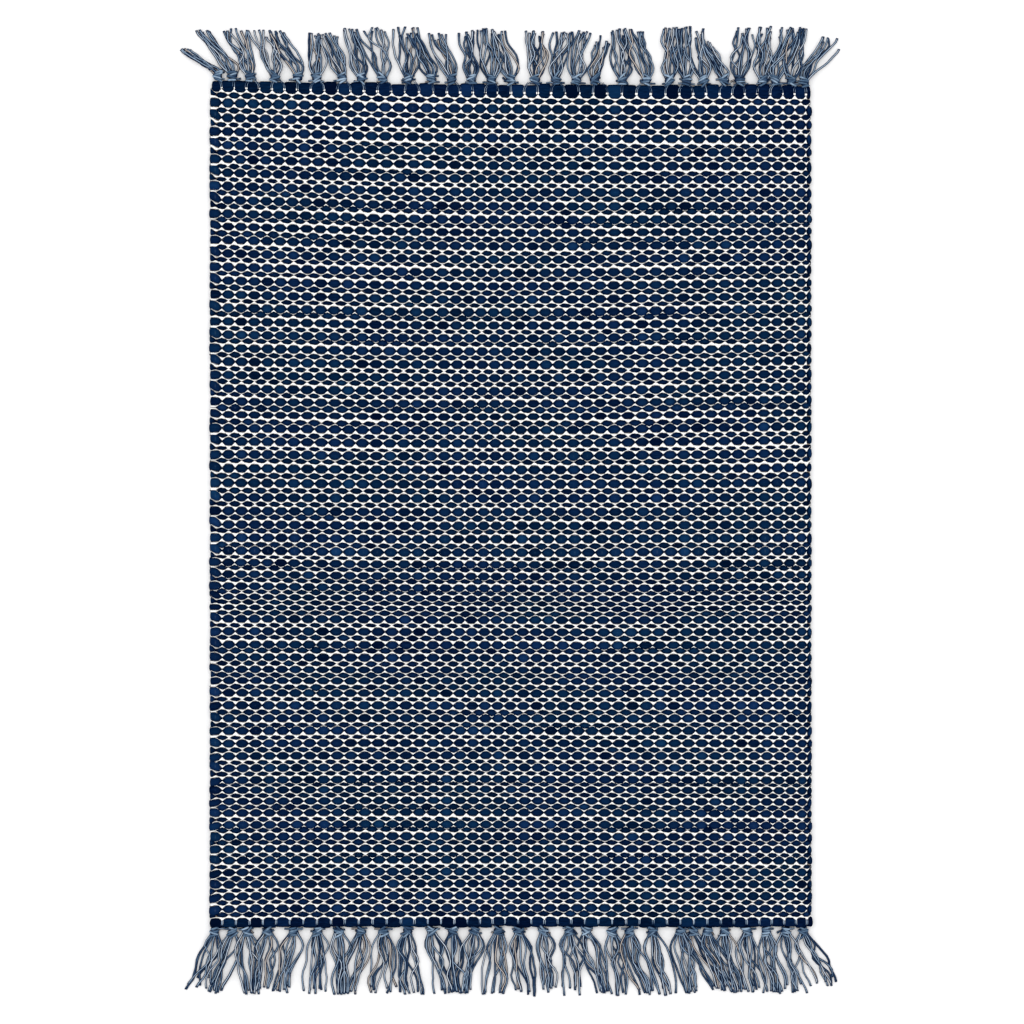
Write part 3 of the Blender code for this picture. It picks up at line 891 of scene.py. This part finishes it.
def knot_wraps(name, finish, table, far):
    """Turns of yarn round each knot, each leaning its own way."""
    side = 1.0 if far else -1.0
    each = 4
    count = each * len(table)
    lean = chance.normal(0.0, 0.55, count)
    turns = chance.uniform(0.75, 1.15, count)
    start = chance.uniform(-0.9, 0.6, count)
    size = chance.uniform(0.84, 1.08, count)
    aside = chance.uniform(-1.3, 1.3, count)
    out_by = chance.uniform(-0.5, 0.5, count)
    girth = chance.uniform(1.05, 1.4, count)
    tones = np.clip(chance.normal(0.33, 0.08, count), 0.14, 0.58)
    knots = np.array([knot[0] for knot in table], float)
    outs = np.linspace(-0.72, 0.72, each)

    def path(number, share):
        angle = start[number] + share * turns[number] * 2.0 * math.pi
        x0 = knots[number // each] + aside[number]
        place = outs[number % each]
        narrow = np.sqrt(np.clip(1.0 - (0.75 * place) ** 2, 0.0, 1.0)) * size[number]
        y = heading_edge(x0, far) + side * (KNOT_OUT[far] + KNOT_LONG[far] * place + out_by[number])
        x = 4.1 * narrow * np.cos(angle)
        z = 4.0 + 3.5 * narrow * np.sin(angle)
        return np.stack([x0 + x, y + x * lean[number] + 1.2 * (share - 0.5), z], axis=1)

    def shape(number, share, turn):
        middle = path(number, share)
        x0 = knots[number // each] + aside[number]
        out = np.stack([middle[:, 0] - x0, np.zeros(len(x0)), middle[:, 2] - 4.0], axis=1)
        out /= np.maximum(np.linalg.norm(out, axis=1), 1e-9)[:, None]
        way = path(number, share + 1e-3) - path(number, share - 1e-3)
        way /= np.linalg.norm(way, axis=1)[:, None]
        beside = np.cross(way, out)
        beside /= np.maximum(np.linalg.norm(beside, axis=1), 1e-9)[:, None]
        out = np.cross(beside, way)
        thick = girth[number][:, None]
        points = middle + thick * (out * np.sin(turn)[:, None] - beside * np.cos(turn)[:, None])
        points[:, 2] = np.maximum(points[:, 2], 0.1)
        # crown darkens the sides and underside of each wrap as painted shade.
        facts = {"tone": tones[number], "along": share * 0.8, "crown": 0.66 + 0.38 * np.sin(turn)}
        return points, facts

    return yarns(name, finish, count, 6, 12, shape)


def loose_strands(name, finish, table, far):
    """Short ends of yarn that lie between the knots, close to the heading."""
    side = 1.0 if far else -1.0
    knots = np.array(sorted(knot[0] for knot in table), float)
    gaps = np.diff(knots)
    first = np.repeat(knots[:-1], 3)
    gap = np.repeat(gaps, 3)
    keep = (gap < 30.0) & (chance.uniform(0.0, 1.0, len(gap)) < 0.85)
    first = first[keep]
    gap = gap[keep]
    count = len(first)
    turned = chance.uniform(0.0, 1.0, count) < 0.5
    hugs = chance.uniform(0.0, 1.0, count) < 0.62
    run = np.where(hugs, chance.uniform(5.5, 9.5, count), chance.uniform(5.5, 8.5, count))
    run = np.minimum(run, gap * 0.72)
    out = np.where(hugs, chance.uniform(0.5, 1.3, count), chance.uniform(2.0, 5.5, count))
    slope = np.where(hugs, chance.uniform(-0.5, 0.9, count), chance.uniform(-1.0, 5.5, count))
    sag = np.where(hugs, 0.3, chance.uniform(-2.0, 2.0, count))
    tones = np.where(hugs, chance.normal(0.42, 0.10, count), chance.normal(0.28, 0.14, count))
    tones = np.clip(tones, 0.05, 0.8)
    tones = np.where(chance.uniform(0.0, 1.0, count) < 0.10, 0.97, tones)
    girth = chance.uniform(0.95, 1.2, count)

    def path(number, share):
        start = np.where(turned[number], first[number] + gap[number], first[number])
        x = start + np.where(turned[number], -1.0, 1.0) * share * run[number]
        y = out[number] + slope[number] * share + sag[number] * np.sin(share * math.pi)
        y = heading_edge(x, far) + side * np.maximum(y, 0.3)
        return np.stack([x, y, np.where(hugs[number], 4.6, 2.6) - 1.2 * share], axis=1)

    def shape(number, share, turn):
        points = along_path(path, number, share, turn, girth[number], girth[number])
        points[:, 2] = np.maximum(points[:, 2], 0.05)
        # crown is low on the flanks and underside, which the finish darkens as painted shade.
        facts = {"tone": tones[number], "along": share * 0.9, "crown": np.sin(turn)}
        return points, facts

    return yarns(name, finish, count, 6, 6, shape)


def through(places, number, share):
    """A smooth run through evenly spaced places, one column of them for each yarn."""
    last = len(places) - 1
    at = np.clip(share * last, 0.0, last - 1e-6)
    now = np.floor(at).astype(int)
    part = at - now
    p0 = places[np.maximum(now - 1, 0), number]
    p1 = places[now, number]
    p2 = places[now + 1, number]
    p3 = places[np.minimum(now + 2, last), number]
    bend = (2.0 * p0 - 5.0 * p1 + 4.0 * p2 - p3) * part ** 2
    curl = (3.0 * p1 - 3.0 * p2 + p3 - p0) * part ** 3
    return 0.5 * (2.0 * p1 + (p2 - p0) * part + bend + curl)


def fringe_yarns(name, finish, table, far):
    """The warp yarns of the tassels: out of the knot, round a belly, and on to their ends."""
    side = 1.0 if far else -1.0
    each = YARNS_IN_A_TASSEL
    count = each * len(table)
    rows = np.array(table, float)
    tassel = np.arange(count) // each
    order = np.arange(count) % each
    spread = order / (each - 1.0) * 2.0 - 1.0
    spread = spread + 0.13 * np.sin(spread * 7.5 + chance.uniform(0.0, 6.28, len(table))[tassel])
    knot = rows[tassel, 0]
    left = rows[tassel, 1]
    right = rows[tassel, 2]
    reach = rows[tassel, 3] + 1.0 - rows[tassel, 4] * 1.5 * chance.uniform(0.0, 1.0, count) ** 1.5
    middle = (left + right) / 2.0
    lean = middle - knot
    body = 9.0 * np.clip(rows[tassel, 3] / 56.0, 0.6, 1.15)
    half = np.maximum((right - left) / 2.0, 6.5)
    one = np.clip(spread + chance.normal(0.0, 0.22, count), -1.15, 1.15)
    two = np.clip(0.85 * one + chance.normal(0.0, 0.40, count), -1.3, 1.3)
    three = np.clip(0.6 * two + 0.35 * spread + chance.normal(0.0, 0.38, count), -1.3, 1.3)
    tip = np.clip(0.8 * three + 0.2 * spread + chance.normal(0.0, 0.22, count), -1.08, 1.08)
    places = np.stack([
        knot + spread * 3.0,
        knot + 0.14 * lean + one * body,
        knot + 0.44 * lean + two * (0.65 * body + 0.35 * half),
        knot + 0.74 * lean + three * (0.35 * body + 0.65 * half),
        middle + tip * half,
    ])
    wave = chance.uniform(0.1, 0.6, count)
    waves = chance.uniform(1.8, 4.4, count)
    start = chance.uniform(0.0, 6.28, count)
    heights = chance.uniform(0.0, 1.0, (3, count))
    floors = np.stack([
        np.full(count, 4.4) + 1.6 * chance.uniform(-1.0, 1.0, count),
        *(1.3 + 4.6 * heights ** 1.2),
        np.full(count, 1.3) + 1.0 * chance.uniform(0.0, 1.0, count),
    ])
    # Yarns that lie lower get darker tones, painted shade under the yarns above them; the random part is
    # each yarn's own tone.
    tones = 0.17 + 0.62 * heights.mean(axis=0) + chance.normal(0.0, 0.16, count)
    tones = np.clip(tones, 0.02, 0.86)
    tones = np.where(chance.uniform(0.0, 1.0, count) < 0.06, 0.97, tones)
    girth = chance.uniform(0.94, 1.20, count)

    def path(number, share):
        x = through(places, number, share)
        x = x + wave[number] * np.sin(start[number] + share * waves[number] * 2.0 * math.pi) * share ** 0.5
        along = KNOT_OUT[far] + (reach[number] - KNOT_OUT[far]) * share
        y = heading_edge(knot[number], far) + side * along
        return np.stack([x, y, through(floors, number, share)], axis=1)

    def shape(number, share, turn):
        thick = girth[number] * (1.0 + 0.22 * np.clip((share - 0.94) / 0.04, 0.0, 1.0))
        points = along_path(path, number, share, turn, thick, thick * 0.85)
        points[:, 2] = np.maximum(points[:, 2], 0.05)
        # crown is low on the flanks and underside, which the finish darkens as painted shade.
        facts = {"tone": tones[number], "along": share, "crown": np.sin(turn)}
        return points, facts

    return yarns(name, finish, count, 8, 12, shape)


def warp_ground(name, finish):
    """The sheet of straight warps that every weft is woven round."""
    bm = bmesh.new()
    bmesh.ops.create_grid(bm, x_segments=60, y_segments=16, size=1.0)
    bmesh.ops.solidify(bm, geom=list(bm.faces), thickness=0.2)
    mesh = bpy.data.meshes.new(name)
    bm.to_mesh(mesh)
    bm.free()
    co = np.empty(len(mesh.vertices) * 3)
    mesh.vertices.foreach_get("co", co)
    co = co.reshape(-1, 3)
    column = (co[:, 0] + 1.0) / 2.0 * 45.2 - 0.35
    y = FIELD_NEAR - 8.0 + (co[:, 1] + 1.0) / 2.0 * (FIELD_FAR + 8.0 - FIELD_NEAR + 8.0)
    x = column_x(column, y)
    upper = co[:, 2] > co[:, 2].mean()
    z = MIDDLE + np.where(upper, 0.5, -0.5)
    mesh.vertices.foreach_set("co", (np.stack([x, y, z], axis=1) * MM).ravel())
    return dress(mesh, name, finish, {"tone": np.full(len(co), 0.5)})


navy = ((0.0004, 0.0030, 0.0150), (0.0030, 0.0175, 0.060), (0.0060, 0.0330, 0.105))
thick_navy = weft_finish("thick_navy_weft", *navy)
thin_navy = weft_finish("thin_navy_weft", *navy)
cord_navy = weft_finish("navy_heading_cord", *navy)
white = pick_finish()
blue_grey = yarn_finish("blue_grey_warp_yarn")
buff = ground_finish()

ground = warp_ground("warp_ground", buff)

thick_rings = row_ends(ring_columns((0.0, 0.23, 0.40, 0.5, 0.60, 0.77), -0.48, 45.0))
thin_rings = row_ends(ring_columns((0.06, 0.22, 0.5, 0.78, 0.94), -0.46, 44.95))
pick_rings = ring_columns((0.0, 0.25, 0.5, 0.75), -0.40, 44.88)

woven = []
for part, first, last in (("far", 0, 32), ("near", 32, ROWS)):
    rows = np.arange(first, last)
    woven.append(
        weft_rows(
            "thick_weft_" + part, thick_navy, rows, thick_rings, thick_middle, thick_half,
            THICK_TONES, (8.0, 0.05), (5.9, 2.2), 0.0, 8,
        )
    )
    rows = np.arange(first, last + (last == ROWS))
    woven.append(
        weft_rows(
            "thin_weft_" + part, thin_navy, rows, thin_rings, thin_middle, thin_half,
            THIN_TONES, (7.4, 0.6), (5.0, 3.0), 0.5, 6,
        )
    )
    gaps = np.arange(2 * first, 2 * last + 2 * (last == ROWS))
    woven.append(white_picks("white_picks_" + part, white, gaps, pick_rings))

turns = [selvedge("selvedge_right", thin_navy)]

ends = []
for end, table, far in (("far", FAR_TASSELS, True), ("near", NEAR_TASSELS, False)):
    ends.append(heading_cord("heading_cord_" + end, cord_navy, far))
    span = (0.38, 1.12, 1.0, 0.58) if far else (0.22, 0.68, 1.0, 0.92)
    ends.append(heading_warps("heading_warps_" + end, blue_grey, table, far, *span))
    span = (0.29, 0.45, 0.0, 0.80) if far else (0.08, 0.34, 0.0, 0.66)
    ends.append(heading_warps("warp_ties_" + end, white, table, far, *span))
    ends.append(knot_cores("knots_" + end, blue_grey, table, far))
    ends.append(knot_wraps("knot_wraps_" + end, blue_grey, table, far))
    ends.append(loose_strands("loose_strands_" + end, blue_grey, table, far))
    ends.append(fringe_yarns("fringe_yarns_" + end, blue_grey, table, far))

for piece in [ground, *woven, *turns]:
    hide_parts("rug_field")
for piece in ends:
    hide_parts("fringe_far" if piece.name.endswith("far") else "fringe_near")


# The floor, the light and the camera

def floor():
    bm = bmesh.new()
    bmesh.ops.create_grid(bm, x_segments=2, y_segments=2, size=4.0)
    mesh = bpy.data.meshes.new("floor")
    bm.to_mesh(mesh)
    bm.free()
    finish = Finish("pale_floor", 0.9, 0.1)
    finish.colour((0.88, 0.88, 0.885, 1.0))
    mesh.materials.append(finish.material)
    made = bpy.data.objects.new("floor", mesh)
    bpy.context.scene.collection.objects.link(made)


def soft_light(name, place, size, power):
    lamp = bpy.data.lights.new(name, "AREA")
    lamp.shape = "SQUARE"
    lamp.size = size
    lamp.energy = power
    made = bpy.data.objects.new(name, lamp)
    made.location = place
    aim = -made.location
    made.rotation_euler = aim.to_track_quat("-Z", "Y").to_euler()
    bpy.context.scene.collection.objects.link(made)


def camera():
    lens = bpy.data.cameras.new("camera")
    lens.sensor_width = 36.0
    height = 3.2
    lens.lens = 36.0 * height / 1.024
    made = bpy.data.objects.new("camera", lens)
    made.location = (0.0015, -0.002, height + 0.006)
    bpy.context.scene.collection.objects.link(made)
    bpy.context.scene.camera = made


floor()
soft_light("softbox", (-0.15, 0.35, 2.6), 2.2, 24.0)
world = bpy.data.worlds.new("studio")
world.use_nodes = True
world.node_tree.nodes["Background"].inputs["Color"].default_value = (1.0, 1.0, 1.0, 1.0)
world.node_tree.nodes["Background"].inputs["Strength"].default_value = 1.05
bpy.context.scene.world = world
bpy.context.scene.view_settings.view_transform = "Standard"
camera()
